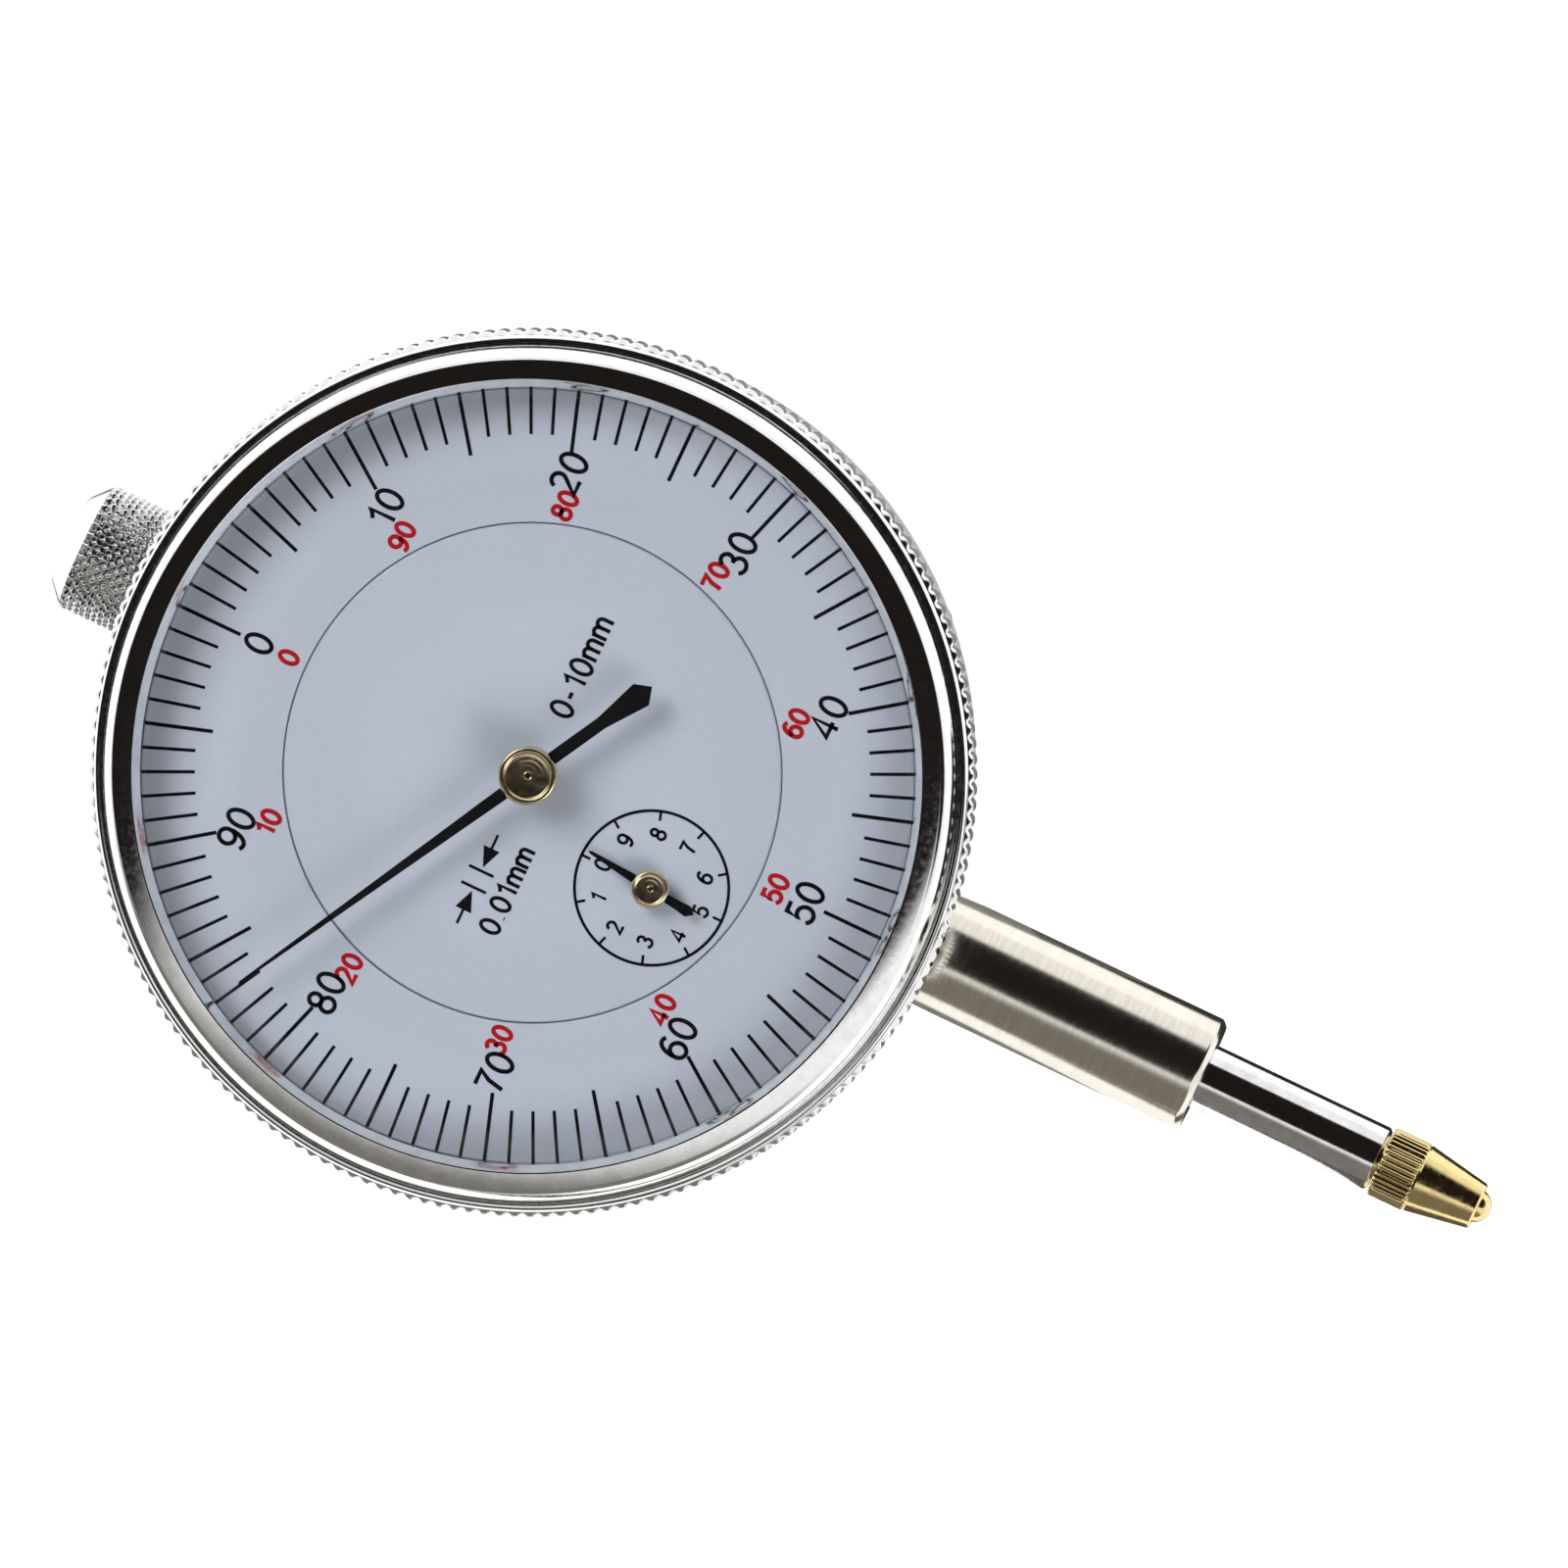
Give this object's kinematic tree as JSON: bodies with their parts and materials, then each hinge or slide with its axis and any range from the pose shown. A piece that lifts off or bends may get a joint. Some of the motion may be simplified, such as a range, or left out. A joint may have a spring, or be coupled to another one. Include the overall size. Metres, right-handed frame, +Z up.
{
  "type": "dial indicator",
  "caption": "Dial indicator with a rotating knurled bezel, geared main and revolution hands, clamping stem, sprung spindle, ball contact point, dust cap and lug back.",
  "frame": {"origin": "on the spindle axis, at the middle of the stem length that a holder clamps", "axes": "+Z up the spindle axis from the contact point to the dust cap, -Y out of the dial towards the reader, +X to the right of the dial"},
  "size_m": [0.059, 0.0346, 0.1049],
  "materials": {
    "chrome": "polished",
    "steel": "ground",
    "brass": "turned",
    "case_alloy": "satin",
    "dial_face": "matt",
    "hand_black": "satin",
    "black_ring": "matt",
    "crystal": "clear"
  },
  "bodies": {
    "case": {"back_plate": "brass", "bezel_spring": "steel", "bridge_post_1": "brass", "bridge_post_2": "brass", "bridge_screw_1": "steel", "bridge_screw_2": "steel", "case_body": "case_alloy", "centre_bridge": "brass", "cover_screw_1": "steel", "cover_screw_2": "steel", "cover_screw_3": "steel", "cover_screw_4": "steel", "dust_cap": "chrome", "front_plate": "brass", "hairspring": "steel", "hairspring_stud": "brass", "inner_dial_disc": "dial_face", "lug_screw_1": "steel", "lug_screw_2": "steel", "mounting_lug": "steel", "pillar_1": "brass", "pillar_2": "brass", "pillar_3": "brass", "pillar_4": "brass", "plate_fixing_1": "steel", "plate_fixing_2": "steel", "plate_fixing_3": "steel", "plate_screw_1": "steel", "plate_screw_2": "steel", "plate_screw_3": "steel", "plate_screw_4": "steel", "rear_cover": "case_alloy", "return_spring": "steel", "spring_anchor": "steel", "stem": "steel", "stem_nut": "steel", "upper_bushing": "steel"},
    "spindle": {"spindle": "chrome", "contact_point": "brass", "guide_pin": "steel"},
    "rack_arbor": {"rack_pinion": "steel", "rack_gear": "brass", "small_hand_hub": "brass", "small_hand": "hand_black"},
    "centre_arbor": {"centre_pinion": "steel", "main_hand_hub": "brass", "main_hand": "hand_black"},
    "hairspring_arbor": {"hairspring_arbor": "steel", "hairspring_gear": "brass", "hairspring_collet": "brass"},
    "bezel": {"bezel": "chrome", "crystal": "crystal", "crystal_ring": "black_ring", "graduated_dial": "dial_face", "dial_retaining_ring": "steel"}
  },
  "joints": [
    {"name": "spindle_slide", "type": "slide", "parent": "case", "child": "spindle", "axis": [0, 0, 1], "range_m": [0, 0.0104], "stiffness_N_per_m": 60, "springref_m": -0.01, "deforming": ["return_spring"]},
    {"name": "rack_arbor_turn", "type": "hinge", "parent": "case", "child": "rack_arbor", "pos_m": [-0.0035, 0, 0.02857], "axis": [0, -1, 0], "range_deg": [0, 376]},
    {"name": "centre_arbor_turn", "type": "hinge", "parent": "case", "child": "centre_arbor", "pos_m": [0, 0, 0.039], "axis": [0, -1, 0], "range_deg": [-3746, 0]},
    {"name": "hairspring_arbor_turn", "type": "hinge", "parent": "case", "child": "hairspring_arbor", "pos_m": [0.0035, 0, 0.04943], "axis": [0, -1, 0], "range_deg": [0, 376]},
    {"name": "bezel_turn", "type": "hinge", "parent": "case", "child": "bezel", "pos_m": [0, 0, 0.039], "axis": [0, -1, 0], "continuous": true}
  ],
  "couplings": [
    {"joint": "rack_arbor_turn", "follows": "spindle_slide", "rad_per_m": 628.32},
    {"joint": "centre_arbor_turn", "follows": "spindle_slide", "rad_per_m": -6283.2},
    {"joint": "hairspring_arbor_turn", "follows": "spindle_slide", "rad_per_m": 628.32}
  ]
}
